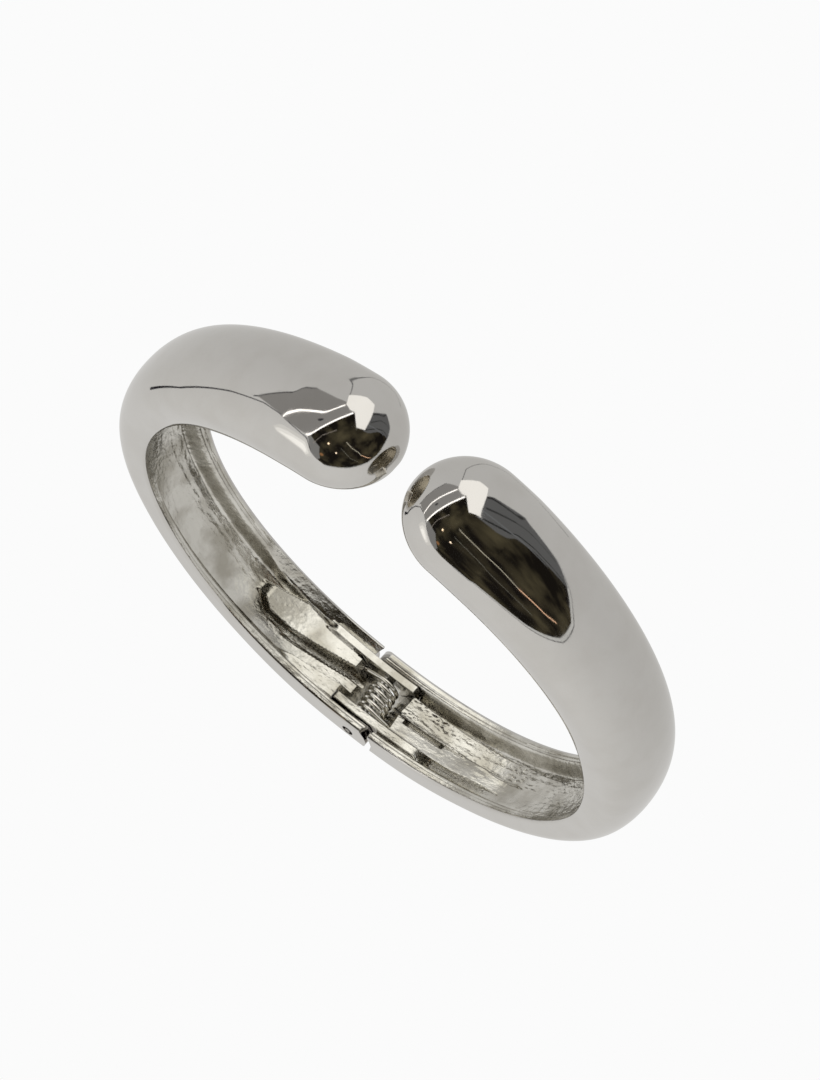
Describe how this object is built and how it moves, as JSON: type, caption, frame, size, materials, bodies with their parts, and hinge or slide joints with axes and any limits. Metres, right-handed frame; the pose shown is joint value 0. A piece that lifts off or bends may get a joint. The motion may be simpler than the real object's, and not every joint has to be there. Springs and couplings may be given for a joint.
{
  "type": "bangle bracelet",
  "caption": "Hinged open bangle of bright plated metal: two tapering arms that swell to rounded tips, sprung shut by a coil around the hinge pin.",
  "frame": {"origin": "middle of the bracelet's bounding box, at its lowest point, with the bracelet lying flat", "axes": "+Z is the ring's axis and points up, +Y points to the hinge, +X to the right arm; the gap between the tips faces -Y"},
  "size_m": [0.0664, 0.0643, 0.012],
  "materials": {
    "plated_casting": "bright nickel-tone plating over a zinc casting, mirror smooth outside and as cast inside",
    "pin_steel": "drawn steel wire, staked ends, plated with the arms",
    "spring_wire": "drawn spring wire, nickel plated"
  },
  "bodies": {
    "left_half": {"left_arm": "plated_casting", "hinge_pin": "pin_steel", "hinge_spring": "spring_wire"},
    "right_half": {"right_arm": "plated_casting"}
  },
  "joints": [
    {"name": "hinge", "type": "hinge", "parent": "left_half", "child": "right_half", "pos_m": [0, 0.02996, 0.006], "axis": [0, 0, 1], "range_deg": [0, 45], "stiffness_Nm_per_rad": 0.02, "springref_deg": -85.94, "deforming": ["hinge_spring"]}
  ]
}
